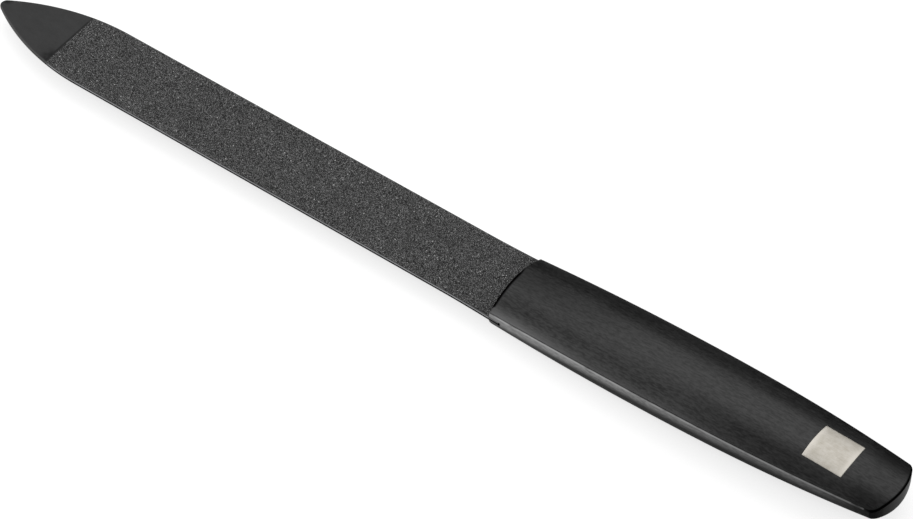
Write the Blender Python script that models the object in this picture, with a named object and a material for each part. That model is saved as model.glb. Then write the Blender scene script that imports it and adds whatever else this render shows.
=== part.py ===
"""A sapphire nail file: a thin steel blade with an abrasive coat on each face, bonded into a slim
barrel-shaped metal handle.

Frame: the file lies on its handle, blade flat, +Z up.  The tip points to -X and the butt of the
handle to +X.  The origin is on the floor, midway along the length.  The blade's middle plane is
the reference from which every height is worked out.
"""

import math

import bmesh
import bpy
from mathutils import Vector

MM = 0.001

# Fits
SEAT_GAP = 0.02 * MM             # between two pieces that seat on each other

# Blade blank
BLADE_REACH = 96.3 * MM          # tip of the blade to the front of the handle
BLADE_WIDTH = 12.5 * MM
BLANK_THICKNESS = 0.5 * MM
BLANK_CHAMFER = 0.05 * MM
OGIVE_RADIUS = 37.6 * MM         # the curve from the nose to the parallel edges
NOSE_RADIUS = 0.7 * MM

# Tang behind the blade's shoulders
SHOULDER_DEPTH = 1.6 * MM        # how far the full width of the blade enters the handle
SHOULDER_GAP = 0.2 * MM          # left open behind the shoulders, where it shows in the side
TANG_LENGTH = 36.0 * MM
TANG_WIDTH = 7.6 * MM
TANG_CORNER = 1.5 * MM
KEY_HOLE_DIAMETER = 3.0 * MM
KEY_HOLE_PITCH = 9.5 * MM
KEY_HOLE_COUNT = 3

# Abrasive coats
GRIT_START = 13.8 * MM           # tip to the line where the coats begin
COARSE_GRIT_THICKNESS = 0.09 * MM
FINE_GRIT_THICKNESS = 0.07 * MM
GRIT_MARGIN = 0.1 * MM           # bare rim between a coat and the blade's edge
GRIT_TO_HANDLE = 0.15 * MM

# Handle outline, from its front face to its butt
HANDLE_LENGTH = 63.6 * MM
HANDLE_RISE = math.radians(1.7)  # the handle's middle plane climbs from the blade's by this much
BELLY_STATION = 24.3 * MM        # where the handle is widest and thickest
REAR_EASE = 2.35                 # power of the curve from the belly to the butt
FRONT_WIDTH = 12.4 * MM
BELLY_WIDTH = 13.44 * MM
BUTT_WIDTH = 9.4 * MM
FRONT_SIDE_HEIGHT = 2.1 * MM     # height of the side wall between the two crowned faces
BELLY_SIDE_HEIGHT = 2.7 * MM
BUTT_SIDE_HEIGHT = 1.6 * MM
FRONT_CROWN = 1.63 * MM          # rise of a crowned face above the side wall's edge
BELLY_CROWN = 1.8 * MM
BUTT_CROWN = 0.7 * MM
SIDE_BULGE = 0.16 * MM
BUTT_RADIUS = 9.5 * MM           # the end wall, seen from above
BUTT_CORNER = 2.0 * MM
BUTT_ARC_ANGLE = math.radians(26)
BUTT_CORNER_ANGLE = math.radians(72)
BARREL_RUN_OUT = 1.3 * MM        # how far the barrel is lofted past the butt wall that cuts it off

# Adhesive in the tang pocket
GLUE_FILM = 0.2 * MM             # over and under the tang
GLUE_SIDE = 0.35 * MM            # beside the tang and behind it

# Bare metal plate let into the upper face
PLATE_LENGTH = 6.4 * MM
PLATE_WIDTH = 6.2 * MM
PLATE_THICKNESS = 0.25 * MM
PLATE_TO_BUTT = 7.7 * MM

# Fineness of the round shapes
HANDLE_STATIONS = 12             # few, so that the facet under the file's weight is long enough
CROWN_STEPS = 11                 # odd, so that the file lies on a facet and not on a ridge
SIDE_STEPS = 4
OGIVE_STEPS = 16
NOSE_STEPS = 6
CORNER_STEPS = 6
BUTT_STEPS = 8
HOLE_STEPS = 24
PLATE_STEPS = 8

# Places worked out from the sizes above, along the blade from its tip
HANDLE_FRONT = BLADE_REACH
SHOULDER = HANDLE_FRONT + SHOULDER_DEPTH
TANG_END = SHOULDER + TANG_LENGTH
SLOT_END = SHOULDER + SHOULDER_GAP
POCKET_END = TANG_END + GLUE_SIDE
BUTT = HANDLE_FRONT + HANDLE_LENGTH
HALF_BLANK = BLANK_THICKNESS / 2
CUT_OVER = 5.0 * MM              # how far a cutter runs out past what it cuts


def clear_scene():
    for old in list(bpy.data.objects):
        bpy.data.objects.remove(old, do_unlink=True)


def make_finish(name, colour, roughness, metallic):
    material = bpy.data.materials.new(name)
    material.use_nodes = True
    shader = material.node_tree.nodes["Principled BSDF"]
    shader.inputs["Base Color"].default_value = (*colour, 1.0)
    shader.inputs["Roughness"].default_value = roughness
    shader.inputs["Metallic"].default_value = metallic
    material.diffuse_color = (*colour, 1.0)
    return material


def make_object(name, bm, parent, finish=None):
    """Turns a bmesh into a named object under the given parent."""
    bmesh.ops.recalc_face_normals(bm, faces=bm.faces)
    mesh = bpy.data.meshes.new(name)
    bm.to_mesh(mesh)
    bm.free()
    obj = bpy.data.objects.new(name, mesh)
    bpy.context.collection.objects.link(obj)
    obj.parent = parent
    if finish:
        mesh.materials.append(finish)
    return obj


def make_cutter(name, bm, parent):
    cutter = make_object(name, bm, parent)
    cutter.hide_render = True
    cutter.display_type = "WIRE"
    return cutter


def cut(target, cutter, operation="DIFFERENCE"):
    boolean = target.modifiers.new(cutter.name, "BOOLEAN")
    boolean.operation = operation
    boolean.solver = "EXACT"
    boolean.object = cutter


def prism(outline, bottom, top):
    """An upright solid on a closed outline of (x, y) points."""
    bm = bmesh.new()
    floor = bm.faces.new([bm.verts.new((x, y, bottom)) for x, y in outline])
    extruded = bmesh.ops.extrude_face_region(bm, geom=[floor], use_keep_orig=True)
    raised = [item for item in extruded["geom"] if isinstance(item, bmesh.types.BMVert)]
    bmesh.ops.translate(bm, verts=raised, vec=(0, 0, top - bottom))
    return bm


def loft(rings):
    """A solid through a row of closed rings that all have the same number of points."""
    bm = bmesh.new()
    rows = [[bm.verts.new(point) for point in ring] for ring in rings]
    count = len(rows[0])
    for row, following in zip(rows, rows[1:]):
        for i in range(count):
            j = (i + 1) % count
            bm.faces.new((row[i], row[j], following[j], following[i]))
    bm.faces.new(rows[0])
    bm.faces.new(rows[-1])
    return bm


def arc(centre, radius, start, end, steps):
    """Points on an arc in the plane of the blade, both ends included."""
    points = []
    for i in range(steps + 1):
        angle = start + (end - start) * i / steps
        points.append((centre[0] + radius * math.cos(angle), centre[1] + radius * math.sin(angle)))
    return points


def mirrored(points):
    """The same points on the near side, in the order that closes the outline."""
    return [(x, -y) for x, y in reversed(points)]


# Shape of the blade

def ogive_centre_y():
    return BLADE_WIDTH / 2 - OGIVE_RADIUS


def parallel_start():
    """Where the edges start to run parallel: the nose circle, on the blade's axis, touches the
    ogive from inside and has its front at x = 0."""
    reach = OGIVE_RADIUS - NOSE_RADIUS
    return NOSE_RADIUS + math.sqrt(reach ** 2 - ogive_centre_y() ** 2)


def blade_half_width(x):
    """Half the width of the blade at a distance x from its tip, behind the nose."""
    along = max(parallel_start() - x, 0)
    return ogive_centre_y() + math.sqrt(OGIVE_RADIUS ** 2 - along ** 2)


def blade_tip_side():
    """The far side of the tip, from the point of the nose to where the edge runs straight."""
    nose = (NOSE_RADIUS, 0.0)
    centre = (parallel_start(), ogive_centre_y())
    touch = math.atan2(nose[1] - centre[1], nose[0] - centre[0])
    side = arc(nose, NOSE_RADIUS, math.pi, touch, NOSE_STEPS)
    side += arc(centre, OGIVE_RADIUS, touch, math.pi / 2, OGIVE_STEPS)[1:]
    return side


def rounded_tang(start, end, half_width, corner):
    """The far side of a tang, from its root to the middle of its rounded end."""
    side = [(start, half_width)]
    side += arc((end - corner, half_width - corner), corner, math.pi / 2, 0, CORNER_STEPS)
    return side


def key_hole_stations():
    middle = (SHOULDER + TANG_END) / 2
    first = middle - KEY_HOLE_PITCH * (KEY_HOLE_COUNT - 1) / 2
    return [first + KEY_HOLE_PITCH * i for i in range(KEY_HOLE_COUNT)]


# Shape of the handle, at a distance x behind its front face

def swell(x, front, belly, butt):
    """One smooth curve that rises from the front to the belly and falls away to the butt."""
    if x < BELLY_STATION:
        return belly - (belly - front) * (1 - x / BELLY_STATION) ** 2
    share = (x - BELLY_STATION) / (HANDLE_LENGTH - BELLY_STATION)
    return belly - (belly - butt) * share ** REAR_EASE


def handle_half_width(x):
    return swell(x, FRONT_WIDTH, BELLY_WIDTH, BUTT_WIDTH) / 2


def side_half_height(x):
    return swell(x, FRONT_SIDE_HEIGHT, BELLY_SIDE_HEIGHT, BUTT_SIDE_HEIGHT) / 2


def crown_radius(x):
    half = handle_half_width(x)
    rise = swell(x, FRONT_CROWN, BELLY_CROWN, BUTT_CROWN)
    return (half ** 2 + rise ** 2) / (2 * rise)


def middle_height(x):
    return x * math.tan(HANDLE_RISE)


def upper_face(x, y):
    """Height of the crowned upper face above the blade's middle plane."""
    radius = crown_radius(x)
    half = handle_half_width(x)
    drop = math.sqrt(radius ** 2 - y ** 2) - math.sqrt(radius ** 2 - half ** 2)
    return middle_height(x) + side_half_height(x) + drop


def handle_stations():
    """Where the barrel's sections stand, behind its front face."""
    reach = HANDLE_LENGTH + BARREL_RUN_OUT
    return [reach * i / HANDLE_STATIONS for i in range(HANDLE_STATIONS + 1)]


def handle_ring(x):
    """The handle's section: a crowned face above and below, a slightly convex wall each side."""
    half = handle_half_width(x)
    height = side_half_height(x)
    middle = middle_height(x)
    spread = math.asin(half / crown_radius(x))
    crown = []
    for i in range(CROWN_STEPS + 1):
        angle = spread * (1 - 2 * i / CROWN_STEPS)
        y = crown_radius(x) * math.sin(angle)
        crown.append((y, upper_face(x, y) - middle))
    wall = []
    for i in range(1, SIDE_STEPS):
        share = 1 - 2 * i / SIDE_STEPS
        wall.append((half + SIDE_BULGE * (1 - share ** 2), height * share))
    section = crown
    section = section + [(-y, z) for y, z in wall]
    section = section + [(y, -z) for y, z in reversed(crown)]
    section = section + [(y, -z) for y, z in wall]
    return [Vector((HANDLE_FRONT + x, y, middle + z)) for y, z in section]


def butt_outline():
    """The end wall seen from above: a shallow arc with a tighter one at each corner."""
    centre = (BUTT - BUTT_RADIUS, 0.0)
    inner = BUTT_RADIUS - BUTT_CORNER
    corner = (centre[0] + inner * math.cos(BUTT_ARC_ANGLE), inner * math.sin(BUTT_ARC_ANGLE))
    side = arc(corner, BUTT_CORNER, BUTT_CORNER_ANGLE, BUTT_ARC_ANGLE, CORNER_STEPS)
    side += arc(centre, BUTT_RADIUS, BUTT_ARC_ANGLE, 0, BUTT_STEPS)[1:]
    # From the corner the outline runs out straight, past the widest part of the handle.
    leave = BUTT_CORNER_ANGLE + math.pi / 2
    run = BELLY_WIDTH / math.sin(leave)
    outer = (side[0][0] + run * math.cos(leave), side[0][1] + run * math.sin(leave))
    side = [(HANDLE_FRONT - CUT_OVER, outer[1]), outer] + side
    return side + mirrored(side[:-1])


def curved_patch(length, width, above, below):
    """A slab that follows the crowned upper face, between two offsets from that face."""
    middle = HANDLE_LENGTH - PLATE_TO_BUTT - PLATE_LENGTH / 2
    rings = []
    for i in range(PLATE_STEPS + 1):
        x = middle + length * (i / PLATE_STEPS - 0.5)
        across = [width * (j / PLATE_STEPS - 0.5) for j in range(PLATE_STEPS + 1)]
        top = [Vector((HANDLE_FRONT + x, y, upper_face(x, y) + above)) for y in across]
        bottom = [Vector((HANDLE_FRONT + x, y, upper_face(x, y) + below)) for y in reversed(across)]
        rings.append(top + bottom)
    return loft(rings)


# Pieces

def make_blade(parent):
    """The blank: tip, parallel edges, shoulders, and a tang with holes that key the adhesive."""
    side = blade_tip_side()
    side.append((SHOULDER, BLADE_WIDTH / 2))
    side += rounded_tang(SHOULDER, TANG_END, TANG_WIDTH / 2, TANG_CORNER)
    outline = side + mirrored(side[1:])
    finish = make_finish("black_coated_steel", (0.045, 0.045, 0.048), 0.42, 0.8)
    blade = make_object("blade", prism(outline, -HALF_BLANK, HALF_BLANK), parent, finish)
    chamfer = blade.modifiers.new("edge_chamfer", "BEVEL")
    chamfer.width = BLANK_CHAMFER
    chamfer.segments = 1
    chamfer.limit_method = "ANGLE"
    chamfer.angle_limit = math.radians(60)
    for i, x in enumerate(key_hole_stations()):
        ring = arc((x, 0.0), KEY_HOLE_DIAMETER / 2, 0, 2 * math.pi, HOLE_STEPS)[:-1]
        cut(blade, make_cutter(f"key_hole_{i + 1}", prism(ring, -CUT_OVER, CUT_OVER), parent))
    return blade


def make_grit(name, thickness, side, parent, finish):
    """One abrasive coat: side is 1 on the upper face of the blade and -1 on the lower."""
    end = HANDLE_FRONT - GRIT_TO_HANDLE
    straight = parallel_start()
    stations = [GRIT_START + (straight - GRIT_START) * i / OGIVE_STEPS for i in range(OGIVE_STEPS)]
    edge = [(x, blade_half_width(x) - GRIT_MARGIN) for x in stations + [straight, end]]
    near = side * (HALF_BLANK + SEAT_GAP)
    far = side * (HALF_BLANK + SEAT_GAP + thickness)
    bm = prism(edge + mirrored(edge), min(near, far), max(near, far))
    return make_object(name, bm, parent, finish)


def make_handle(parent):
    """The handle: a lofted barrel with a cut butt, a slot and pocket for the blade, a plate seat."""
    finish = make_finish("brushed_black_metal", (0.05, 0.05, 0.052), 0.38, 0.85)
    barrel = loft([handle_ring(x) for x in handle_stations()])
    handle = make_object("handle", barrel, parent, finish)

    butt = make_cutter("butt_wall", prism(butt_outline(), -2 * CUT_OVER, 2 * CUT_OVER), parent)
    cut(handle, butt, "INTERSECT")

    slot_edge = BLADE_WIDTH + BELLY_WIDTH
    slot = [(HANDLE_FRONT - CUT_OVER, slot_edge), (SLOT_END, slot_edge)]
    slot_height = HALF_BLANK + SEAT_GAP
    cut(handle, make_cutter("blade_slot", prism(slot + mirrored(slot), -slot_height, slot_height),
                            parent))

    pocket = rounded_tang(SLOT_END, POCKET_END, TANG_WIDTH / 2 + GLUE_SIDE, TANG_CORNER)
    pocket_height = HALF_BLANK + GLUE_FILM
    cut(handle, make_cutter("tang_pocket",
                            prism(pocket + mirrored(pocket), -pocket_height, pocket_height),
                            parent))

    seat = curved_patch(PLATE_LENGTH + 2 * SEAT_GAP, PLATE_WIDTH + 2 * SEAT_GAP,
                        PLATE_THICKNESS, -PLATE_THICKNESS - SEAT_GAP)
    cut(handle, make_cutter("plate_seat", seat, parent))
    return handle


def make_adhesive(parent):
    """The cured bond: a sleeve round the tang, tied through its holes by three plugs."""
    outer = rounded_tang(SLOT_END + SEAT_GAP, POCKET_END - SEAT_GAP,
                         TANG_WIDTH / 2 + GLUE_SIDE - SEAT_GAP, TANG_CORNER)
    height = HALF_BLANK + GLUE_FILM - SEAT_GAP
    finish = make_finish("cured_epoxy", (0.16, 0.15, 0.12), 0.45, 0.0)
    adhesive = make_object("tang_adhesive", prism(outer + mirrored(outer), -height, height),
                           parent, finish)

    void = rounded_tang(SLOT_END - CUT_OVER, TANG_END + SEAT_GAP, TANG_WIDTH / 2 + SEAT_GAP,
                        TANG_CORNER)
    void_height = HALF_BLANK + SEAT_GAP
    tang_space = make_cutter("tang_space", prism(void + mirrored(void), -void_height, void_height),
                             parent)
    for i, x in enumerate(key_hole_stations()):
        ring = arc((x, 0.0), KEY_HOLE_DIAMETER / 2 - SEAT_GAP, 0, 2 * math.pi, HOLE_STEPS)[:-1]
        plug = make_cutter(f"glue_plug_{i + 1}", prism(ring, -CUT_OVER, CUT_OVER), parent)
        cut(tang_space, plug)
    cut(adhesive, tang_space)
    return adhesive


def make_plate(parent):
    finish = make_finish("bare_nickel_plate", (0.62, 0.60, 0.53), 0.35, 0.9)
    slab = curved_patch(PLATE_LENGTH, PLATE_WIDTH, 0.0, -PLATE_THICKNESS)
    return make_object("inlay_plate", slab, parent, finish)


def shade(obj):
    """Smooth across the facets of round shapes, crisp at real edges."""
    obj.data.shade_smooth()
    obj.data.set_sharp_from_angle(angle=math.radians(25))


def build():
    clear_scene()
    lowest = min(point.z for x in handle_stations() for point in handle_ring(x))
    file_origin = bpy.data.objects.new("nail_file", None)
    file_origin.location = (-BUTT / 2, 0, -lowest)
    bpy.context.collection.objects.link(file_origin)

    coarse = make_finish("coarse_sapphire_grit", (0.065, 0.065, 0.07), 0.75, 0.1)
    fine = make_finish("fine_sapphire_grit", (0.075, 0.075, 0.08), 0.65, 0.1)
    pieces = [
        make_blade(file_origin),
        make_grit("grit_coarse_upper", COARSE_GRIT_THICKNESS, 1, file_origin, coarse),
        make_grit("grit_fine_lower", FINE_GRIT_THICKNESS, -1, file_origin, fine),
        make_adhesive(file_origin),
        make_handle(file_origin),
        make_plate(file_origin),
    ]
    for piece in pieces:
        shade(piece)


build()
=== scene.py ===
import math

import bmesh
import bpy
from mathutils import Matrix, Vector, kdtree, noise


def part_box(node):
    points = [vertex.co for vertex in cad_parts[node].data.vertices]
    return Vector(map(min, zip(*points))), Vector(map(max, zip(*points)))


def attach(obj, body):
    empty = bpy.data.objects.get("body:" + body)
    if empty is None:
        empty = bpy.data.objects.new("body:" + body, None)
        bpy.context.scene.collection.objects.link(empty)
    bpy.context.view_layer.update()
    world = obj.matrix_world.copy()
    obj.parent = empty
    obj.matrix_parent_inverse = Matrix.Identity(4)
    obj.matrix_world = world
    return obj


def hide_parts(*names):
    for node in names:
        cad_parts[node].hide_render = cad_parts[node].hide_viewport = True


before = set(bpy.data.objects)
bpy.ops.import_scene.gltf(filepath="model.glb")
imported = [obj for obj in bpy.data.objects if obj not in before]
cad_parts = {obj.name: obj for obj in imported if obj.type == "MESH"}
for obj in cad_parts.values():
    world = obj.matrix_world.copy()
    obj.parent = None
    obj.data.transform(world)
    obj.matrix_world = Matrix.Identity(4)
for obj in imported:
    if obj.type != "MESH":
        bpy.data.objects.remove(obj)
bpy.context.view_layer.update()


# Blade
# A strip of spring steel, blanked to an ogival point and coated black. Its long edges are ground
# after coating, so a thin line of bare metal runs beside the abrasive. Its tang, with three holes
# that key the adhesive, is bonded into the handle.

MM = 0.001
blade_low, blade_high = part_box("blade")
coarse_low, coarse_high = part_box("grit_coarse_upper")
handle_low, handle_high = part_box("handle")
NOSE_WORN = 0.32 * MM
TIP = blade_low[0] + NOSE_WORN
MIDDLE = (blade_low[2] + blade_high[2]) / 2
HALF_BLANK = (blade_high[2] - blade_low[2]) / 2
HALF_BLADE = blade_high[1]
TANG_END = blade_high[0]
GRIT_START = coarse_low[0]
HANDLE_FRONT = handle_low[0]

OGIVE_RADIUS = 37.6 * MM
NOSE_RADIUS = 1.05 * MM
BLADE_EDGE_ROUND = 0.09 * MM
RIM_LIGHT_WIDTH = 0.4 * MM
SHOULDER = HANDLE_FRONT + 1.6 * MM
HALF_TANG = 3.8 * MM
TANG_CORNER = 1.5 * MM
KEY_HOLE_RADIUS = 1.5 * MM
KEY_HOLE_PITCH = 9.5 * MM
ROOT_FLARE = 0.2 * MM
ROOT_FLARE_LENGTH = 9.3 * MM
CUTTER_OVERSHOOT = 1 * MM
NOSE_STEPS = 10
OGIVE_STEPS = 48
ROOT_STEPS = 12
CORNER_STEPS = 8
EDGE_ROUND_STEPS = 4
HOLE_STEPS = 32

OGIVE_CENTRE = HALF_BLADE - OGIVE_RADIUS
PARALLEL_START = NOSE_RADIUS + math.sqrt((OGIVE_RADIUS - NOSE_RADIUS) ** 2 - OGIVE_CENTRE ** 2)


def blade_half_width(x):
    """Half the width of the blade at a place x behind its tip, past the nose."""
    along = max(PARALLEL_START - x, 0)
    return OGIVE_CENTRE + math.sqrt(OGIVE_RADIUS ** 2 - along ** 2)


def arc(centre, radius, start, end, steps):
    """Points along an arc from one angle to another, both ends included."""
    angles = [start + (end - start) * i / steps for i in range(steps + 1)]
    return [(centre[0] + radius * math.cos(a), centre[1] + radius * math.sin(a)) for a in angles]


def blade_outline(inset):
    """The blank seen from above, drawn in by an inset, as (x, y) points all the way round."""
    nose = (TIP + NOSE_RADIUS, 0)
    centre = (TIP + PARALLEL_START, OGIVE_CENTRE)
    touch = math.atan2(nose[1] - centre[1], nose[0] - centre[0])
    side = arc(nose, NOSE_RADIUS - inset, math.pi, touch, NOSE_STEPS)
    side += arc(centre, OGIVE_RADIUS - inset, touch, math.pi / 2, OGIVE_STEPS)[1:]
    for i in range(ROOT_STEPS + 1):
        share = i / ROOT_STEPS
        wider = ROOT_FLARE * share ** 2 - inset
        side.append((HANDLE_FRONT - ROOT_FLARE_LENGTH * (1 - share), HALF_BLADE + wider))
    side += [(SHOULDER - inset, side[-1][1]), (SHOULDER - inset, HALF_TANG - inset)]
    corner = (TANG_END - TANG_CORNER, HALF_TANG - TANG_CORNER)
    side += arc(corner, TANG_CORNER - inset, math.pi / 2, 0, CORNER_STEPS)
    return side + [(x, -y) for x, y in reversed(side[1:])]


def loft(bm, rows, closed_ends=True):
    """Skins a list of closed rings of the same count and returns the rows of vertices."""
    verts = [[bm.verts.new(point) for point in row] for row in rows]
    for row, following in zip(verts, verts[1:]):
        for i in range(len(row)):
            j = (i + 1) % len(row)
            bm.faces.new((row[i], row[j], following[j], following[i]))
    if closed_ends:
        bm.faces.new(verts[0])
        bm.faces.new(verts[-1])
    return verts


def new_piece(name, bm):
    """A bmesh as a linked object at the origin, its faces turned outward."""
    bmesh.ops.recalc_face_normals(bm, faces=bm.faces)
    mesh = bpy.data.meshes.new(name)
    bm.to_mesh(mesh)
    bm.free()
    piece = bpy.data.objects.new(name, mesh)
    bpy.context.scene.collection.objects.link(piece)
    return piece


def smooth(piece, crease):
    """Shades a piece smooth, except where faces meet at more than this many degrees."""
    piece.data.shade_smooth()
    piece.data.set_sharp_from_angle(angle=math.radians(crease))


def prism(outline, bottom, top):
    """An upright solid on an outline of (x, y) points."""
    bm = bmesh.new()
    loft(bm, [[(x, y, z) for x, y in outline] for z in (bottom, top)])
    return bm


def cut_away(piece, cutters):
    """Takes each cutter's solid out of the piece."""
    for cutter in cutters:
        boolean = piece.modifiers.new(cutter.name, "BOOLEAN")
        boolean.solver = "EXACT"
        boolean.operation = "DIFFERENCE"
        boolean.object = cutter


def settle_modifiers(piece, helpers=()):
    """Turns what the modifiers make into the piece's own mesh and removes them and the helpers."""
    evaluated = piece.evaluated_get(bpy.context.evaluated_depsgraph_get())
    made = bpy.data.meshes.new_from_object(evaluated)
    made.name = piece.name
    piece.modifiers.clear()
    piece.data = made
    for helper in helpers:
        bpy.data.objects.remove(helper, do_unlink=True)


# Each ring's inset and height, from a line on the upper face round the edge to the lower face.
edge_levels = [(RIM_LIGHT_WIDTH, HALF_BLANK)]
for step in range(EDGE_ROUND_STEPS + 1):
    turn = math.pi / 2 * step / EDGE_ROUND_STEPS
    edge_levels.append((BLADE_EDGE_ROUND * (1 - math.sin(turn)),
                        HALF_BLANK - BLADE_EDGE_ROUND * (1 - math.cos(turn))))
edge_levels += [(inset, -height) for inset, height in reversed(edge_levels)]

# The coat's finish reads from_edge: 0 on the wall and 1 where the light on the rim has ended.
bm = bmesh.new()
inset_layer = bm.verts.layers.float.new("from_edge")
rings = loft(bm, [[(x, y, MIDDLE + z) for x, y in blade_outline(inset)] for inset, z in edge_levels])
for ring, (inset, _) in zip(rings, edge_levels):
    for vertex in ring:
        vertex[inset_layer] = inset / RIM_LIGHT_WIDTH
blade = new_piece("blade_blank", bm)
hole_middle = (SHOULDER + TANG_END) / 2
hole_cutters = []
for i in (-1, 0, 1):
    centre = (hole_middle + i * KEY_HOLE_PITCH, 0)
    ring = arc(centre, KEY_HOLE_RADIUS, 0, 2 * math.pi, HOLE_STEPS)[:-1]
    cutter = prism(ring, MIDDLE - CUTTER_OVERSHOOT, MIDDLE + CUTTER_OVERSHOOT)
    hole_cutters.append(new_piece(f"key_hole_{i + 2}", cutter))
cut_away(blade, hole_cutters)
settle_modifiers(blade, hole_cutters)
smooth(blade, 30)


class Number:
    """A socket that carries one number. Python's arithmetic on it adds Math nodes."""

    def __init__(self, nodes, socket):
        self.nodes = nodes
        self.socket = socket

    def maths(self, operation, *values):
        """Adds one Math node and returns its result."""
        inputs = dict(enumerate(values))
        return self.nodes.node("ShaderNodeMath", {"operation": operation}, inputs).number(0)

    def __add__(self, other):
        return self.maths("ADD", self, other)

    def __sub__(self, other):
        return self.maths("SUBTRACT", self, other)

    def __rsub__(self, other):
        return self.maths("SUBTRACT", other, self)

    def __mul__(self, other):
        return self.maths("MULTIPLY", self, other)

    def __truediv__(self, other):
        return self.maths("DIVIDE", self, other)

    def __rtruediv__(self, other):
        return self.maths("DIVIDE", other, self)

    def __neg__(self):
        return self * -1

    def __abs__(self):
        return self.maths("ABSOLUTE", self)

    __radd__ = __add__
    __rmul__ = __mul__

    def between(self, low, high):
        """0 up to low, 1 from high on, and a smooth step in between."""
        node = self.nodes.node("ShaderNodeMapRange", {"interpolation_type": "SMOOTHSTEP"},
                               {"Value": self, "From Min": low, "From Max": high})
        return node.number("Result")

    def or_larger(self, *others):
        """The largest of this number and the others."""
        largest = self
        for other in others:
            largest = self.maths("MAXIMUM", largest, other)
        return largest


class Made:
    """A node that was just made, with its outputs by name."""

    def __init__(self, nodes, node):
        self.nodes = nodes
        self.node = node

    def number(self, output):
        return Number(self.nodes, self.node.outputs[output])

    def __getitem__(self, output):
        return self.node.outputs[output]


class Nodes:
    """A node tree. One method adds every node, in a finish, in a scatter and in the room."""

    def __init__(self, tree):
        self.tree = tree

    def node(self, kind, settings=None, inputs=None):
        """Adds a node with its settings, such as a ramp's stops, then its values and links."""
        node = self.tree.nodes.new(kind)
        for name, value in (settings or {}).items():
            if name == "stops":
                while len(node.color_ramp.elements) < len(value):
                    node.color_ramp.elements.new(0.5)
                for element, (position, colour) in zip(node.color_ramp.elements, value):
                    element.position = position
                    element.color = (*colour, 1)
            else:
                setattr(node, name, value)
        for name, value in (inputs or {}).items():
            self.feed(node.inputs[name], value)
        return Made(self, node)

    def feed(self, socket, value):
        """Links a number or a socket to a socket, or sets its value."""
        if isinstance(value, Number):
            value = value.socket
        if isinstance(value, bpy.types.NodeSocket):
            self.tree.links.new(value, socket)
        else:
            socket.default_value = value


class Finish(Nodes):
    """A material on a Principled shader, with the patterns and blends that finishes share."""

    def __init__(self, name, **sockets):
        self.material = bpy.data.materials.new(name)
        self.material.use_nodes = True
        super().__init__(self.material.node_tree)
        self.shader = self.tree.nodes["Principled BSDF"]
        self.set(**sockets)
        self.place = self.node("ShaderNodeTexCoord")["Object"]

    def set(self, **sockets):
        """Feeds the shader's own sockets, named in lower case with underscores."""
        for name, value in sockets.items():
            words = name.replace("_", " ").title().replace("Ior", "IOR")
            self.feed(self.shader.inputs[words], value)

    def cover(self, piece):
        """Makes this the only material of a piece."""
        piece.data.materials.clear()
        piece.data.materials.append(self.material)

    def axes(self):
        """The three Object coordinates as numbers."""
        split = self.node("ShaderNodeSeparateXYZ", None, {"Vector": self.place})
        return split.number("X"), split.number("Y"), split.number("Z")

    def attribute(self, name):
        """The number that the mesh stores under this name."""
        return self.node("ShaderNodeAttribute", {"attribute_name": name}).number("Fac")

    def stretched(self, along, across):
        """Object coordinates with one unit for each of these lengths."""
        scale = (1 / along, 1 / across, 1 / across)
        return self.node("ShaderNodeMapping", None, {"Vector": self.place, "Scale": scale})["Vector"]

    def noise(self, vector, detail=2.0, roughness=0.5):
        """Noise between 0 and 1, with one blotch or so for each unit of the vector."""
        inputs = {"Vector": vector, "Scale": 1.0, "Detail": detail, "Roughness": roughness}
        return self.node("ShaderNodeTexNoise", None, inputs).number("Fac")

    def blend(self, factor, first, second):
        """A colour between two others; either may be a socket or three numbers."""
        node = self.node("ShaderNodeMix", {"data_type": "RGBA"}, {0: factor})
        for index, colour in ((6, first), (7, second)):
            if isinstance(colour, tuple):
                colour = (*colour, 1)
            self.feed(node.node.inputs[index], colour)
        return node[2]

    def ramp(self, factor, stops):
        """The colour that a list of (position, colour) stops gives a number."""
        return self.node("ShaderNodeValToRGB", {"stops": stops}, {"Fac": factor})["Color"]

    def bumps(self, height, depth, strength=1.0):
        """Bumps on the surface, as deep as depth where the height goes from 0 to 1."""
        inputs = {"Strength": strength, "Distance": depth, "Height": height}
        self.set(normal=self.node("ShaderNodeBump", None, inputs)["Normal"])


def times(colour, factor):
    """A colour made lighter or darker."""
    return tuple(part * factor for part in colour)


COAT_BLACK = (0.0065, 0.0065, 0.0066)
DEEP_BLACK = (0.001, 0.001, 0.001)
RIM_GREY = (0.06, 0.06, 0.06)
BARE_STEEL = (0.34, 0.34, 0.35)
BARE_LINE_HEIGHT = 0.2 * MM

coat = Finish("black_blade_coat", metallic=0.0, roughness=0.42, specular_ior_level=0.2)
x, y, z = coat.axes()
mottle = coat.noise(coat.stretched(2.5 * MM, 1.6 * MM), detail=4.0, roughness=0.6)
speck = coat.noise(coat.stretched(0.16 * MM, 0.16 * MM), detail=2.0)

# The line of bare steel high on the walls of both long edges, from the grit to the handle.
on_edges = abs(y).between(HALF_BLADE - 4.2 * MM, HALF_BLADE - 4.0 * MM)
off_line = abs(z - (MIDDLE + BARE_LINE_HEIGHT)).between(0.03 * MM, 0.055 * MM)
behind_point = x.between(GRIT_START - 0.2 * MM, GRIT_START + 1.2 * MM)
# Painted shade: the bare line is dimmed where it runs into the handle's slot.
slot_shade_dimming = 1 - x.between(HANDLE_FRONT - 0.3 * MM, HANDLE_FRONT + 0.1 * MM) * 0.6
bare = on_edges * (1 - off_line) * behind_point * slot_shade_dimming

# A highlight painted in grey along the upper rim of the near side only. All that lies below the
# rim is darker: painted shade.
below_rim = 1 - (z - MIDDLE).between(HALF_BLANK - 0.12 * MM, HALF_BLANK - 0.08 * MM)
beside_edge = 1 - coat.attribute("from_edge").between(0.3, 0.8)
rim_light = (1 - below_rim) * beside_edge * (-y).between(0, 0.8 * MM)
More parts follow.
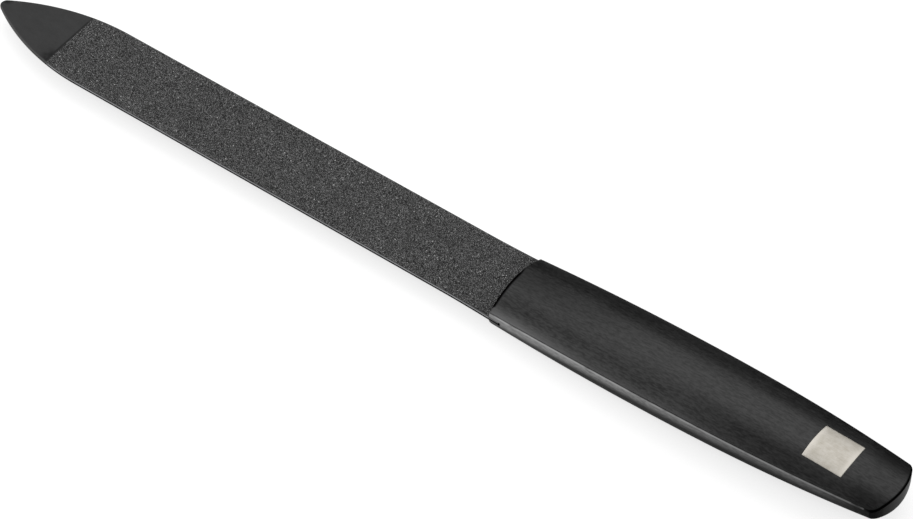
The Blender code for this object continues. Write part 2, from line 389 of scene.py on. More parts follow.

# Dark marks: a ragged line in front of the grit and a mottled patch on the near side of the point,
# both painted shadow of the grit's front edge, and a smudge on the far side of the point's nose.
ragged = x + speck * 0.3 * MM
grit_edge_shadow = ragged.between(GRIT_START - 0.2 * MM, GRIT_START - 0.05 * MM)
near_side_shadow = x.between(GRIT_START - 2.4 * MM, GRIT_START) * (-y).between(2.0 * MM, 4.4 * MM)
near_side_shadow = near_side_shadow * mottle.between(0.34, 0.6)
nose_smudge = (1 - (x - TIP).between(0.5 * MM, 1.7 * MM)) * y.between(-0.1 * MM, 0.5 * MM)
smudge_and_shadow = near_side_shadow.or_larger(grit_edge_shadow * 0.75, nose_smudge * 0.8)

tone = mottle.between(0.3, 0.7) * 0.6 + speck.between(0.3, 0.7) * 0.4
dark_or_light = coat.blend(tone, COAT_BLACK, times(COAT_BLACK, 2.6))
# Painted shade below the upper rim, together with the smudge and the painted shadows, goes towards
# deep black.
soiled_and_shaded = coat.blend(smudge_and_shadow.or_larger(below_rim) * 0.9, dark_or_light, DEEP_BLACK)
rim_highlighted = coat.blend(rim_light * 0.8, soiled_and_shaded, RIM_GREY)
coat.set(base_color=coat.blend(bare, rim_highlighted, BARE_STEEL))
coat.set(metallic=bare.or_larger(below_rim) * 0.9)
coat.set(roughness=0.34 + mottle * 0.1 + speck * 0.05 + smudge_and_shadow * 0.4)
coat.bumps(speck + mottle * 0.6, 0.009 * MM)
coat.cover(blade)
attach(blade, "root")
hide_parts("blade")


# Abrasive coats
# Crushed sapphire is bonded to both faces of the blade, coarse above and fine below. Each coat
# stops at a slightly slanted, ragged line behind the point and leaves a narrow bare rim beside
# the blade's edges.

fine_low, fine_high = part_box("grit_fine_lower")
GRIT_END = coarse_high[0]
COARSE_THICKNESS = coarse_high[2] - coarse_low[2]
FINE_THICKNESS = fine_high[2] - fine_low[2]
SEAT_GAP = 0.02 * MM
GRIT_MARGIN = 0.2 * MM
GRIT_LINE_SLANT = -0.022
GRIT_LINE_WANDER = 0.1 * MM
WANDER_LENGTH = 1.1 * MM
RAG_LENGTH = 0.32 * MM
RAG_SHARE = 0.6
BOND_SHARE = 0.5
GRIT_LIP = 0.17 * MM
GRAINS_TRIED = 1.2e8
GRAIN_SPACING = 0.145 * MM
FRONT_STEPS = 90
EDGE_STEPS = 24


def grit_front(y, side):
    """Where the coat begins: a slanted line that wanders, by another stretch of noise per face."""
    wander = noise.noise(Vector((y / WANDER_LENGTH, 3.7 * side, 0.4)))
    wander += RAG_SHARE * noise.noise(Vector((y / RAG_LENGTH, 9.1 * side, 2.0)))
    return GRIT_START + GRIT_LINE_SLANT * y * side + GRIT_LINE_WANDER * wander


def bond_layer(name, thickness, side):
    """The layer that holds the grains: a closed slab with a bare lip along its front line."""
    inner = MIDDLE + side * (HALF_BLANK + SEAT_GAP)
    outer = inner + side * thickness * BOND_SHARE
    half = blade_half_width(GRIT_START - TIP) - GRIT_MARGIN
    across = [half * (2 * i / FRONT_STEPS - 1) for i in range(FRONT_STEPS + 1)]
    front = [(grit_front(y, side), y) for y in across]
    lip = [(x + GRIT_LIP, y) for x, y in front]
    edge = []
    for i in range(1, EDGE_STEPS + 1):
        x = lip[-1][0] + (TIP + PARALLEL_START - lip[-1][0]) * i / EDGE_STEPS
        edge.append((x, blade_half_width(x - TIP) - GRIT_MARGIN))
    edge.append((GRIT_END, edge[-1][1]))
    rear = [*edge, *((x, -y) for x, y in reversed(edge))]
    outline = [*front, lip[-1], *rear, lip[0]]
    bm = bmesh.new()
    takes_grains = bm.faces.layers.bool.new("takes_grains")
    below = [bm.verts.new((x, y, inner)) for x, y in outline]
    above = [bm.verts.new((x, y, outer)) for x, y in outline]
    inside = [bm.verts.new((x, y, outer)) for x, y in lip[1:-1]]
    bm.faces.new(below)
    for i in range(len(below)):
        j = (i + 1) % len(below)
        bm.faces.new((below[i], below[j], above[j], above[i]))
    far_end, near_end = above[len(front)], above[-1]
    bm.faces.new([*above[:len(front)], far_end, *reversed(inside), near_end])
    grain_bed = bm.faces.new([near_end, *inside, *above[len(front):-1]])
    grain_bed[takes_grains] = True
    return new_piece(name, bm)


def grain_scatter():
    """Sinks angular grains into the marked faces and joins them with the layer that holds them."""
    tree = bpy.data.node_groups.new("grain_scatter", "GeometryNodeTree")
    tree.is_modifier = True
    face = tree.interface
    face.new_socket("Geometry", in_out="INPUT", socket_type="NodeSocketGeometry")
    for name in ("Crowding", "Spacing", "Smallest", "Largest", "Sink"):
        face.new_socket(name, in_out="INPUT", socket_type="NodeSocketFloat")
    face.new_socket("Seed", in_out="INPUT", socket_type="NodeSocketInt")
    face.new_socket("Finish", in_out="INPUT", socket_type="NodeSocketMaterial")
    face.new_socket("Geometry", in_out="OUTPUT", socket_type="NodeSocketGeometry")

    nodes = Nodes(tree)
    given = nodes.node("NodeGroupInput")
    seed = given["Seed"]
    marked = nodes.node("GeometryNodeInputNamedAttribute", {"data_type": "BOOLEAN"},
                        {"Name": "takes_grains"})["Attribute"]
    points = nodes.node("GeometryNodeDistributePointsOnFaces", {"distribute_method": "RANDOM"},
                        {"Mesh": given["Geometry"], "Selection": marked,
                         "Density": given["Crowding"], "Seed": seed})["Points"]
    apart = nodes.node("GeometryNodeMergeByDistance", None,
                       {"Geometry": points, "Distance": given["Spacing"]})[0]
    drop = nodes.node("ShaderNodeCombineXYZ", None, {"Z": given["Sink"]})[0]
    lowered = nodes.node("GeometryNodeSetPosition", None, {"Geometry": apart, "Offset": drop})[0]
    # A sphere of four segments and two rings is an octahedron.
    grain = nodes.node("GeometryNodeMeshUVSphere", None,
                       {"Segments": 4, "Rings": 2, "Radius": 0.5})["Mesh"]
    turn = nodes.node("FunctionNodeRandomValue", {"data_type": "FLOAT_VECTOR"},
                      {0: (0, 0, 0), 1: (2 * math.pi,) * 3, "Seed": seed})[0]
    sizes = nodes.node("FunctionNodeRandomValue", {"data_type": "FLOAT_VECTOR"},
                       {0: given["Smallest"], 1: given["Largest"], "Seed": seed})[0]
    grains = nodes.node("GeometryNodeInstanceOnPoints", None,
                        {"Points": lowered, "Instance": grain, "Rotation": turn, "Scale": sizes})[0]
    tone = nodes.node("FunctionNodeRandomValue", {"data_type": "FLOAT"}, {"Seed": seed})[1]
    toned = nodes.node("GeometryNodeStoreNamedAttribute",
                       {"data_type": "FLOAT", "domain": "INSTANCE"},
                       {"Geometry": grains, "Name": "grain_tone", "Value": tone})[0]
    joined = nodes.node("GeometryNodeJoinGeometry", None, {0: given["Geometry"]})
    nodes.feed(joined.node.inputs[0], toned)
    whole = nodes.node("GeometryNodeRealizeInstances", None, {"Geometry": joined[0]})[0]
    finished = nodes.node("GeometryNodeSetMaterial", None,
                          {"Geometry": whole, "Material": given["Finish"]})[0]
    nodes.node("NodeGroupOutput", None, {0: finished})
    return tree


def strew(piece, tree, **values):
    """Runs the scatter on a bond layer and keeps the result as a plain mesh."""
    piece.data.materials.append(values["finish"])
    scatter = piece.modifiers.new("grains", "NODES")
    scatter.node_group = tree
    for item in tree.interface.items_tree:
        if item.in_out == "INPUT" and item.name.lower() in values:
            scatter[item.identifier] = values[item.name.lower()]
    settle_modifiers(piece)
    # The scatter leaves an empty slot behind the layer's own, and no face uses it.
    piece.data.materials.pop()


def grit_finish(name, bond, pit, dark_grain, light_grain, painted_glint, grain_pitch):
    """Bond and grains in one finish: a grain's tone picks its colour, and the bond's tone is 0."""
    grit = Finish(name, roughness=0.5, specular_ior_level=0.15)
    tone = grit.attribute("grain_tone")
    # The lowest tones paint grains near-black as the shade of pits, and the top few light as painted
    # glints.
    grains = grit.ramp(tone, [(0.0, bond), (0.01, pit), (0.07, pit), (0.09, dark_grain),
                              (0.985, light_grain), (0.995, painted_glint)])
    cloud = grit.noise(grit.stretched(3.2 * MM, 2.6 * MM), detail=3.0)
    fleck = grit.noise(grit.stretched(grain_pitch, grain_pitch), detail=3.0, roughness=0.7)
    shade = grit.node("ShaderNodeVectorMath", {"operation": "SCALE"},
                      {0: grains, "Scale": 0.63 + cloud * 0.5 + fleck * 0.22})
    grit.set(base_color=shade[0])
    grit.set(roughness=0.62 - tone * 0.25)
    grit.bumps(fleck, 0.02 * MM)
    return grit.material


coarse_finish = grit_finish(
    "coarse_sapphire", bond=(0.018, 0.018, 0.018), pit=(0.006, 0.006, 0.006),
    dark_grain=(0.090, 0.090, 0.090), light_grain=(0.25, 0.25, 0.25), painted_glint=(0.65, 0.65, 0.65),
    grain_pitch=0.30 * MM)
fine_finish = grit_finish(
    "fine_sapphire", bond=(0.030, 0.030, 0.031), pit=(0.020, 0.020, 0.020),
    dark_grain=(0.070, 0.070, 0.072), light_grain=(0.180, 0.180, 0.184), painted_glint=(0.40, 0.40, 0.41),
    grain_pitch=0.20 * MM)
scatter_tree = grain_scatter()

# Of the points tried on each square metre, those that lie closer than the spacing merge into one.
coarse_grit = bond_layer("coarse_grit", COARSE_THICKNESS, 1)
strew(coarse_grit, scatter_tree, crowding=GRAINS_TRIED, spacing=GRAIN_SPACING,
      smallest=0.13 * MM, largest=0.28 * MM, sink=-0.02 * MM, seed=4, finish=coarse_finish)
fine_grit = bond_layer("fine_grit", FINE_THICKNESS, -1)
strew(fine_grit, scatter_tree, crowding=GRAINS_TRIED, spacing=GRAIN_SPACING,
      smallest=0.07 * MM, largest=0.17 * MM, sink=0.01 * MM, seed=11, finish=fine_finish)
for piece, node, slot in ((coarse_grit, "grit_coarse_upper", "grit_coarse"),
                          (fine_grit, "grit_fine_lower", "grit_fine")):
    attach(piece, "root")
    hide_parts(node)


# Adhesive
# Two-part epoxy fills the pocket round the tang and runs through its three holes. It is sealed in
# the handle, so the solid keeps its shape and only gets the look of a cured, slightly cloudy bond.

epoxy = Finish("cured_epoxy", metallic=0.0, roughness=0.45)
cloud = epoxy.noise(epoxy.stretched(2.0 * MM, 2.0 * MM), detail=4.0)
epoxy.set(base_color=epoxy.blend(cloud, (0.12, 0.11, 0.085), (0.21, 0.195, 0.15)))
epoxy.set(roughness=0.35 + cloud * 0.2)
epoxy.bumps(cloud, 0.05 * MM)
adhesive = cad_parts["tang_adhesive"]
epoxy.cover(adhesive)


# Handle
# One piece of metal, milled to a slim barrel with two crowned faces and slightly convex side
# walls, cut off upright at a rounded butt, brushed lengthwise and coated black. The blade sits in
# a slot that is open at both sides, and the tang in a pocket behind it.

HANDLE_LENGTH = handle_high[0] - HANDLE_FRONT
HANDLE_RISE = math.radians(1.7)
BELLY_STATION = 24.3 * MM
HANDLE_WIDTHS = (12.4 * MM, 13.44 * MM, 9.4 * MM)
SIDE_WALL_HEIGHTS = (2.1 * MM, 2.7 * MM, 1.6 * MM)
CROWN_RISES = (1.63 * MM, 1.8 * MM, 0.7 * MM)
REAR_EASE = 2.35
SIDE_BULGE = 0.16 * MM
BUTT_RADIUS = 9.5 * MM
BUTT_CORNER = 2.0 * MM
BUTT_ARC_ANGLE = math.radians(26)
BUTT_HALF = (BUTT_RADIUS - BUTT_CORNER) * math.sin(BUTT_ARC_ANGLE) + BUTT_CORNER
SIDE_END = HANDLE_LENGTH - BUTT_RADIUS + (BUTT_RADIUS - BUTT_CORNER) * math.cos(BUTT_ARC_ANGLE)
SHOULDER_GAP = 0.2 * MM
GLUE_FILM = 0.2 * MM
GLUE_SIDE = 0.35 * MM
SLOT_CUTTER_REACH = 5 * MM
SLOT_CUTTER_HALF = 12 * MM
RIDGE_ROUND = 0.14 * MM
BUTT_RIM_ROUND = 0.24 * MM
FRONT_RIM_ROUND = 0.1 * MM
FRONT_REACH = 0.12 * MM
FRONT_BOW = 0.16 * MM
LIP_ROUND = 0.35 * MM
LIP_DROP = 0.8 * MM
CROWN_STEPS = 44
SIDE_STEPS = 6
STATIONS = 132
BUTT_WALL_TRIES = 24


def swell(x, front, belly, butt):
    """Rises from the front of the handle to its belly and falls away to its butt."""
    if x < BELLY_STATION:
        return belly - (belly - front) * (1 - x / BELLY_STATION) ** 2
    share = (x - BELLY_STATION) / (HANDLE_LENGTH - BELLY_STATION)
    return belly - (belly - butt) * share ** REAR_EASE


def handle_section(x):
    """Half width, half the side wall's height, crown radius and middle height at a station."""
    half = swell(x, *HANDLE_WIDTHS) / 2
    wall = swell(x, *SIDE_WALL_HEIGHTS) / 2
    rise = swell(x, *CROWN_RISES)
    return half, wall, (half ** 2 + rise ** 2) / (2 * rise), MIDDLE + x * math.tan(HANDLE_RISE)


def upper_face(x, y):
    """The height of the crowned upper face at a station, at a distance y from the middle line."""
    half, wall, radius, middle = handle_section(x)
    return middle + wall + math.sqrt(radius ** 2 - y ** 2) - math.sqrt(radius ** 2 - half ** 2)


def skin_point(x, face, share):
    """A point of the handle's skin: the share runs from -1 to 1 across one of its four faces."""
    half, wall, radius, middle = handle_section(x)
    if face in ("upper", "lower"):
        y = radius * math.sin(math.asin(half / radius) * share)
        rise = upper_face(x, y) - middle
        return y, middle + (rise if face == "upper" else -rise)
    y = half + SIDE_BULGE * (1 - share ** 2)
    return (y if face == "far" else -y), middle + wall * share


def butt_station(y):
    """How far behind the front the butt wall stands, at a distance y from the middle line."""
    centre = HANDLE_LENGTH - BUTT_RADIUS
    if abs(y) < BUTT_RADIUS * math.sin(BUTT_ARC_ANGLE):
        return centre + math.sqrt(BUTT_RADIUS ** 2 - y ** 2)
    inner = BUTT_RADIUS - BUTT_CORNER
    across = abs(y) - inner * math.sin(BUTT_ARC_ANGLE)
    return centre + inner * math.cos(BUTT_ARC_ANGLE) + math.sqrt(BUTT_CORNER ** 2 - across ** 2)


def front_reach(y):
    """How far the bowed front stands ahead of the shoulders' plane at a distance y."""
    return FRONT_REACH + FRONT_BOW * (1 - min(abs(y) / handle_section(0)[0], 1) ** 2)


def front_station(y, z):
    """Where the front wall stands; under the blade its lip is rounded off."""
    drop = min(max(MIDDLE - HALF_BLANK - z, 0) / LIP_DROP, 1)
    return LIP_ROUND * (1 - math.sqrt(1 - drop ** 2)) - front_reach(y)


def butt_station_of(face, share):
    """Where a line along the skin runs into the butt wall, found by closing in on it."""
    x = HANDLE_LENGTH
    for _ in range(BUTT_WALL_TRIES):
        x = butt_station(skin_point(x, face, share)[0])
    return x


def end_wall(bm, ring):
    """Closes an end ring with upright columns of faces and returns the columns."""
    near_wall = ring[CROWN_STEPS + 1:CROWN_STEPS + SIDE_STEPS]
    lower = ring[CROWN_STEPS + SIDE_STEPS:2 * CROWN_STEPS + SIDE_STEPS + 1]
    far_wall = ring[2 * CROWN_STEPS + SIDE_STEPS + 1:]
    columns = []
    for i in range(CROWN_STEPS + 1):
        top, bottom = ring[i], lower[CROWN_STEPS - i]
        if i == 0:
            between = far_wall[::-1]
        elif i == CROWN_STEPS:
            between = near_wall
        else:
            shares = [step / SIDE_STEPS for step in range(1, SIDE_STEPS)]
            between = [bm.verts.new(top.co.lerp(bottom.co, share)) for share in shares]
        columns.append([top, *between, bottom])
    for column, following in zip(columns, columns[1:]):
        for k in range(SIDE_STEPS):
            bm.faces.new((column[k], column[k + 1], following[k + 1], following[k]))
    return columns


def handle_body():
    """The barrel: a skin of lines from the front to the butt wall, and the wall between its rims."""
    crown = [1 - 2 * i / CROWN_STEPS for i in range(CROWN_STEPS + 1)]
    wall = [1 - 2 * i / SIDE_STEPS for i in range(1, SIDE_STEPS)]
    lines = [("upper", share) for share in crown] + [("near", share) for share in wall]
    lines += [("lower", -share) for share in crown] + [("far", -share) for share in wall]
    ends = [butt_station_of(face, share) for face, share in lines]
    starts = [front_station(*skin_point(0, face, share)) for face, share in lines]
    rings = []
    for j in range(STATIONS + 1):
        ring = []
        for (face, share), start, end in zip(lines, starts, ends):
            x = start + (end - start) * j / STATIONS
            y, z = skin_point(x, face, share)
            ring.append((HANDLE_FRONT + x, y, z))
        rings.append(ring)
    bm = bmesh.new()
    rows = loft(bm, rings, closed_ends=False)
    for column in end_wall(bm, rows[0]):
        for vertex in column:
            vertex.co.x = HANDLE_FRONT + front_station(vertex.co.y, vertex.co.z)
    columns = end_wall(bm, rows[-1])
    weight = bm.edges.layers.float.new("bevel_weight_edge")

    def soften(verts, radius, closed=False):
        for a, b in zip(verts, verts[1:] + (verts[:1] if closed else [])):
            edge = bm.edges.get((a, b))
            if edge:
                edge[weight] = radius / BUTT_RIM_ROUND

    ridges = (0, CROWN_STEPS, CROWN_STEPS + SIDE_STEPS, 2 * CROWN_STEPS + SIDE_STEPS)
    for k in ridges:
        soften([row[k] for row in rows], RIDGE_ROUND)
    soften([column[0] for column in columns], BUTT_RIM_ROUND)
    soften([column[-1] for column in columns], BUTT_RIM_ROUND)
    soften(columns[0], RIDGE_ROUND)
    soften(columns[-1], RIDGE_ROUND)
    soften(rows[0], FRONT_RIM_ROUND, closed=True)
    return bm


def rounded_tang(start, end, half_width):
    """The outline of the pocket: a strip whose rear corners are rounded like the tang's."""
    side = [(start, half_width)]
    corner = (end - TANG_CORNER, half_width - TANG_CORNER)
    side += arc(corner, TANG_CORNER, math.pi / 2, 0, CORNER_STEPS)
    return side + [(x, -y) for x, y in reversed(side)]


plate_low, plate_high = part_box("inlay_plate")
PLATE_LENGTH = plate_high[0] - plate_low[0]
PLATE_MIDDLE = (plate_high[0] + plate_low[0]) / 2
HALF_PLATE = plate_high[1]
PLATE_THICKNESS = 0.25 * MM
PLATE_BOW = 0.08 * MM
PLATE_SEAT_GAP = 0.03 * MM
SEAT_STEPS = 24


def plate_patch(grow, above, below, steps):
    """A slab that follows the crowned face; both of its ends bow out a little."""
    rows = []
    half = HALF_PLATE + grow
    for i in range(steps + 1):
        ring = []
        across = [half * (1 - 2 * j / steps) for j in range(steps + 1)]
        for ys, offset in ((across, above), (across[::-1], below)):
            for y in ys:
                reach = PLATE_LENGTH / 2 + grow - PLATE_BOW * (y / half) ** 2
                x = PLATE_MIDDLE + reach * (2 * i / steps - 1)
                ring.append((x, y, upper_face(x - HANDLE_FRONT, y) + offset))
        rows.append(ring)
    bm = bmesh.new()
    loft(bm, rows)
    return bm


handle = new_piece("brushed_handle", handle_body())
rounding = handle.modifiers.new("ridges", "BEVEL")
rounding.limit_method = "WEIGHT"
rounding.width = BUTT_RIM_ROUND
rounding.segments = 4

slot_end = SHOULDER + SHOULDER_GAP
slot_start = HANDLE_FRONT - SLOT_CUTTER_REACH
slot_box = [(slot_start, SLOT_CUTTER_HALF), (slot_end, SLOT_CUTTER_HALF),
            (slot_end, -SLOT_CUTTER_HALF), (slot_start, -SLOT_CUTTER_HALF)]
slot_height = HALF_BLANK + SEAT_GAP
pocket = rounded_tang(slot_end - CUTTER_OVERSHOOT, TANG_END + GLUE_SIDE, HALF_TANG + GLUE_SIDE)
pocket_height = HALF_BLANK + GLUE_FILM
seat = plate_patch(PLATE_SEAT_GAP, CUTTER_OVERSHOOT, -PLATE_THICKNESS - SEAT_GAP, SEAT_STEPS)
cutters = [
    new_piece("blade_slot", prism(slot_box, MIDDLE - slot_height, MIDDLE + slot_height)),
    new_piece("tang_pocket", prism(pocket, MIDDLE - pocket_height, MIDDLE + pocket_height)),
    new_piece("plate_seat", seat),
]
cut_away(handle, cutters)
settle_modifiers(handle, cutters)
smooth(handle, 32)

# Two attributes, in mm, for the finish: how far a point lies below the upper ridge, and how far
# it lies from the butt's upper rim or from the front. Along both runs a dark line of painted shade,
# which at the front fades towards its corners.
RIM_SAMPLES = 400
FRONT_LINE_SHARE = 0.62
LINE_FAR_END = 4.9 * MM
LINE_NEAR_END = 5.2 * MM
LINE_THINS_FROM = 1.2 * MM
LINE_THINS_BY = 0.22
butt_rim = kdtree.KDTree(RIM_SAMPLES + 1)
for i in range(RIM_SAMPLES + 1):
    y = BUTT_HALF * (2 * i / RIM_SAMPLES - 1)
    station = butt_station(y)
    butt_rim.insert((station, y, upper_face(station, y)), i)
butt_rim.balance()
ridge_distance = handle.data.attributes.new("below_ridge", "FLOAT", "POINT")
rim_distance = handle.data.attributes.new("from_rim", "FLOAT", "POINT")
for i, vertex in enumerate(handle.data.vertices):
    x, y, z = vertex.co.x - HANDLE_FRONT, vertex.co.y, vertex.co.z
    half, wall, _, middle = handle_section(x)
    inward = max(half - abs(y), 0)
    drop = min(max(wall - (z - middle), 0), 2 * wall)
    ridge_distance.data[i].value = (drop - inward if z > middle else drop + inward) / MM
    faded = max(y - LINE_FAR_END, -y - LINE_NEAR_END, 0)
    faded += max(y - LINE_THINS_FROM, 0) * LINE_THINS_BY
    from_front = (x + front_reach(y) + faded) * FRONT_LINE_SHARE
    rim_distance.data[i].value = min(butt_rim.find((x, y, z))[2], from_front) / MM

BLACK_METAL = (0.028, 0.028, 0.028)
# Painted highlight and reflection tones, for the lighter bands and the ridge.
HIGHLIGHT_GREY = (0.25, 0.25, 0.25)
WORN_RIDGE_HIGHLIGHT = (0.34, 0.34, 0.34)
brushed = Finish("brushed_black_metal", metallic=1.0, roughness=0.36,
                 specular_tint=(0.6, 0.6, 0.6, 1))
x, y, z = brushed.axes()
behind = (x - HANDLE_FRONT) / HANDLE_LENGTH
below = brushed.attribute("below_ridge")
fine_lines = brushed.noise(brushed.stretched(0.9 * MM, 0.22 * MM), detail=2.0, roughness=0.6)
long_lines = brushed.noise(brushed.stretched(9 * MM, 0.5 * MM), detail=3.0, roughness=0.6)
patches = brushed.noise(brushed.stretched(4 * MM, 2.2 * MM), detail=4.0, roughness=0.6)
lines = fine_lines.between(0.3, 0.7) * 0.66 + long_lines.between(0.3, 0.7) * 0.2
lines = lines + patches.between(0.3, 0.7) * 0.14
streaked = brushed.blend(lines, times(BLACK_METAL, 0.6), times(BLACK_METAL, 1.4))

# Painted shade, which takes the black towards deep black: beside the plate and the butt, behind the
# front, on the far side of the crown, on the butt's corners and in the blade's slot.
beside_plate = behind.between(0.42, 0.72) * abs(y).between(1.6 * MM, 4.2 * MM)
beside_plate = beside_plate * (0.4 - y.between(3.0 * MM, 5.0 * MM) * 0.24)
beside_butt = behind.between(0.82, 0.95) * (0.14 + abs(y).between(1.0 * MM, 3.6 * MM) * 0.46)
shaded_front = (1 - behind.between(0.02, 0.4)) * (1 - abs(y - 0.8 * MM).between(0.4 * MM, 3.4 * MM))
far_side = y.between(1.6 * MM, 3.2 * MM)
butt_middle = MIDDLE + HANDLE_LENGTH * math.tan(HANDLE_RISE)
side_end = HANDLE_FRONT + SIDE_END
butt_corner = x.between(side_end + 0.5 * MM, side_end + 0.9 * MM)
butt_corner = butt_corner * (1 - (z - butt_middle).between(0.8 * MM, 1.0 * MM))
butt_corner = butt_corner * abs(y).between(2.7 * MM, 3.8 * MM)
in_slot = 1 - x.between(slot_end + 0.06 * MM, slot_end + 0.26 * MM)
in_slot = in_slot * (1 - abs(z - MIDDLE).between(0.26 * MM, 0.34 * MM))
shaded = beside_plate.or_larger(beside_butt, shaded_front * 0.34, far_side * 0.11,
                                butt_corner * 0.9, in_slot * 0.97)
edge_of_rim = 1 - brushed.attribute("from_rim").between(0.12, 0.36)

# Painted highlights and reflections, in lighter grey: the near half behind the front, a band along
# the far side, the side wall under the ridge, which fades towards the butt, and the ridge itself,
# where the lighter line is partly wear and partly painted highlight.
front_highlight = below.between(-2.2, -0.2) * (1 - behind.between(0.02, 0.3)) * (-y).between(0, 4 * MM)
far_band_highlight = y.between(3.4 * MM, 4.8 * MM) * (1 - y.between(5.2 * MM, 6.0 * MM) * 0.6)
far_band_highlight = far_band_highlight * (1 - behind.between(0.62, 0.84))
side_wall_reflection = below.between(0.04, 0.2) * (1 - below.between(0.85, 1.85))
side_wall_reflection = side_wall_reflection * (1 - below.between(0.3, 1.4) * behind.between(0.0, 0.4) * 0.5) * (1 - in_slot)
fading = (1 - behind.between(0.25, 0.75) * 0.55) * (1 - behind.between(0.76, 0.97))
ridge_wear_and_highlight = (1 - abs(below - 0.2).between(0.06, 0.2)) * patches.between(0.3, 0.55)
ridge_wear_and_highlight = ridge_wear_and_highlight * (1 - x.between(side_end - 0.2 * MM, side_end + 0.1 * MM))

# Painted highlights: the front and the far band are lightened.
streaked = brushed.blend(front_highlight * 0.1 + far_band_highlight * 0.036, streaked, HIGHLIGHT_GREY)
# Painted shade: the rims' dark lines and the shaded places go towards deep black.
darkened = brushed.blend(edge_of_rim * 0.98 + shaded * (1 - edge_of_rim), streaked, DEEP_BLACK)
# Painted reflection: the side wall's band under the ridge, fading towards the butt.
side_wall = brushed.blend(side_wall_reflection * fading * (0.52 + lines * 0.62), darkened, HIGHLIGHT_GREY)
brushed.set(base_color=brushed.blend(ridge_wear_and_highlight * (0.9 - behind * 0.66), side_wall, WORN_RIDGE_HIGHLIGHT))
brushed.set(roughness=0.27 + lines * 0.14 + patches * 0.05 + edge_of_rim * 0.6)
brushed.bumps(fine_lines * 0.7 + long_lines, 0.006 * MM, 0.9)
brushed.cover(handle)
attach(handle, "root")
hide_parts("handle")


# Plate
# A small rectangle of nickel-toned sheet, bent to the crown and bonded into a shallow seat near
# the butt. It lies flush, its face is bare and satin, and its rim is broken by a fine bevel.

PLATE_STEPS = 28
PLATE_RIM_ROUND = 0.05 * MM
NICKEL = (0.308, 0.293, 0.267)
TARNISH = (0.249, 0.232, 0.200)

plate = new_piece("bare_plate", plate_patch(0.0, 0.0, -PLATE_THICKNESS, PLATE_STEPS))
rim = plate.modifiers.new("rim", "BEVEL")
rim.width = PLATE_RIM_ROUND
rim.segments = 3
rim.limit_method = "ANGLE"
rim.angle_limit = math.radians(50)
settle_modifiers(plate)
smooth(plate, 35)

nickel = Finish("satin_nickel", metallic=1.0, roughness=0.4)
x = nickel.axes()[0]
satin = nickel.noise(nickel.stretched(1.4 * MM, 0.12 * MM), detail=4.0, roughness=0.6)
mottled = nickel.noise(nickel.stretched(1.5 * MM, 1.3 * MM), detail=4.0, roughness=0.65)
# The plate is made lighter towards both ends.
lighter_ends = abs(x - PLATE_MIDDLE).between(PLATE_LENGTH / 2 - 1.1 * MM, PLATE_LENGTH / 2 - 0.1 * MM)
shade = mottled.between(0.3, 0.7) * 0.62 + satin.between(0.3, 0.7) * 0.38
dull = nickel.blend(shade, TARNISH, times(NICKEL, 1.15))
nickel.set(base_color=nickel.blend(lighter_ends * 0.7, dull, times(NICKEL, 1.3)))
nickel.set(roughness=0.33 + satin * 0.12 + mottled * 0.06)
nickel.bumps(satin + mottled * 0.5, 0.006 * MM, 0.8)
nickel.cover(plate)
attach(plate, "root")
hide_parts("inlay_plate")


# Studio
# The file lies on its handle on a plain white table under soft boxes. The camera looks down its
# length from the right, from the distance that the photograph's perspective gives.

HALF_TABLE = 3.0
TABLE_GREY = (0.36, 0.36, 0.36)
TABLE_GLOW = (0.715, 0.715, 0.715)
ROOM_LIGHT = 0.72


def seen_as_background(nodes):
    """1 for rays that show the background, straight, off metal or through glass, and 0 for others."""
    rays = nodes.node("ShaderNodeLightPath")
    camera_ray = rays.number("Is Camera Ray")
    return camera_ray.or_larger(rays.number("Is Glossy Ray"), rays.number("Is Transmission Ray"))


bm = bmesh.new()
bmesh.ops.create_grid(bm, x_segments=1, y_segments=1, size=HALF_TABLE)
floor = new_piece("table", bm)
table = Finish("white_table", base_color=(*TABLE_GREY, 1), roughness=0.9, specular_ior_level=0.1,
               emission_strength=1.0)
table.set(emission_color=table.blend(seen_as_background(table), (0, 0, 0), TABLE_GLOW))
table.cover(floor)

world = bpy.data.worlds.new("studio")
world.use_nodes = True
room = Nodes(world.node_tree)
light = room.node("ShaderNodeMapRange", None,
                  {"Value": seen_as_background(room), "To Min": ROOM_LIGHT, "To Max": 1.0})
background = room.tree.nodes["Background"]
room.feed(background.inputs["Color"], (1, 1, 1, 1))
room.feed(background.inputs["Strength"], light["Result"])
bpy.context.scene.world = world


def soft_box(name, azimuth, elevation, distance, width, height, radiance):
    """A soft box that faces the middle of the file; azimuth 0 stands at -Y and 90 at +X."""
    lamp = bpy.data.lights.new(name, "AREA")
    lamp.shape = "RECTANGLE"
    lamp.size = width
    lamp.size_y = height
    lamp.energy = radiance * math.pi * width * height
    box = bpy.data.objects.new(name, lamp)
    a, e = math.radians(azimuth), math.radians(elevation)
    away = Vector((math.sin(a) * math.cos(e), -math.cos(a) * math.cos(e), math.sin(e)))
    box.location = away * distance
    box.rotation_euler = away.to_track_quat("Z", "Y").to_euler()
    box.visible_camera = False
    bpy.context.scene.collection.objects.link(box)


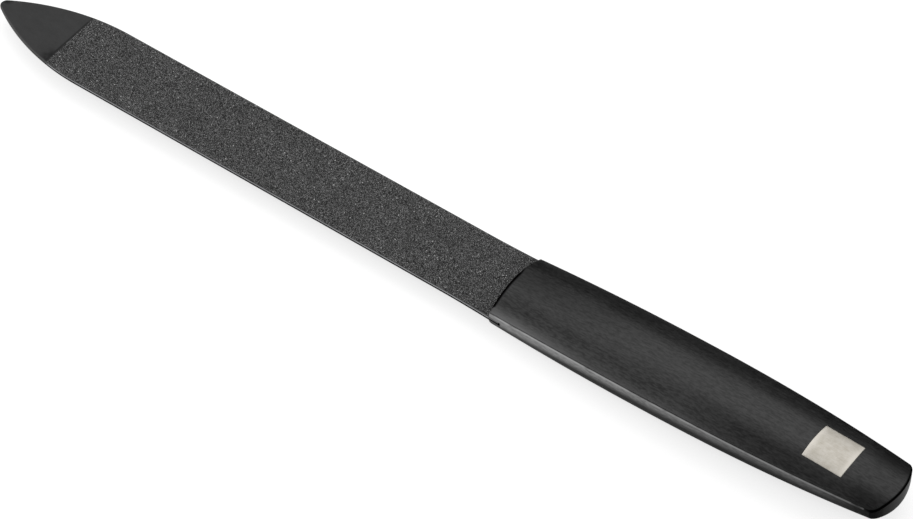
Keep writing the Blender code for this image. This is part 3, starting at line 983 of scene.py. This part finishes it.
soft_box("overhead_box", azimuth=-155, elevation=55, distance=0.8, width=0.7, height=0.7,
         radiance=1.4)
soft_box("side_box", azimuth=-42, elevation=50, distance=0.8, width=0.28, height=0.28, radiance=4.5)

# A flag of black felt stands in an arc round the butt and the far side, and a card of the same
# felt lies on the table inside it. Only reflections show them, as darker sides on the metal.
FLAG_RADIUS = 0.45
FLAG_HEIGHT = 0.17
FLAG_START = math.radians(-10)
FLAG_END = math.radians(150)
FLAG_STEPS = 40
CARD_EDGE = 0.035
OFF_TABLE = 0.0005
bm = bmesh.new()
ring = arc((0, 0), FLAG_RADIUS, FLAG_START, FLAG_END, FLAG_STEPS)
lower, upper = [[bm.verts.new((x, y, z)) for x, y in ring] for z in (OFF_TABLE, FLAG_HEIGHT)]
for i in range(FLAG_STEPS):
    bm.faces.new((lower[i], lower[i + 1], upper[i + 1], upper[i]))
card = [vertex for vertex in lower if vertex.co.y > CARD_EDGE]
card.append(bm.verts.new((-FLAG_RADIUS, CARD_EDGE, OFF_TABLE)))
bm.faces.new(card)
flag = new_piece("black_flag", bm)
felt = Finish("black_felt", base_color=(0.12, 0.12, 0.12, 1), roughness=1.0, specular_ior_level=0.0)
felt.cover(flag)
flag.visible_camera = False
flag.visible_diffuse = False
flag.visible_shadow = False

CAMERA_AZIMUTH = math.radians(36.655)
CAMERA_ELEVATION = math.radians(48.842)
CAMERA_FROM_TIP = Vector((287.478, -270.849, 385.812)) * MM
FOCAL_PIXELS = 3615.9
PHOTO_WIDTH = 913
camera_data = bpy.data.cameras.new("camera")
camera_data.sensor_fit = "HORIZONTAL"
camera_data.sensor_width = 36
camera_data.lens = FOCAL_PIXELS / PHOTO_WIDTH * camera_data.sensor_width
camera_data.clip_start = 0.01
camera = bpy.data.objects.new("camera", camera_data)
camera.location = Vector((blade_low[0], 0, MIDDLE)) + CAMERA_FROM_TIP
camera.rotation_euler = (math.pi / 2 - CAMERA_ELEVATION, 0, CAMERA_AZIMUTH)
bpy.context.scene.collection.objects.link(camera)
bpy.context.scene.camera = camera
bpy.context.scene.view_settings.view_transform = "Standard"
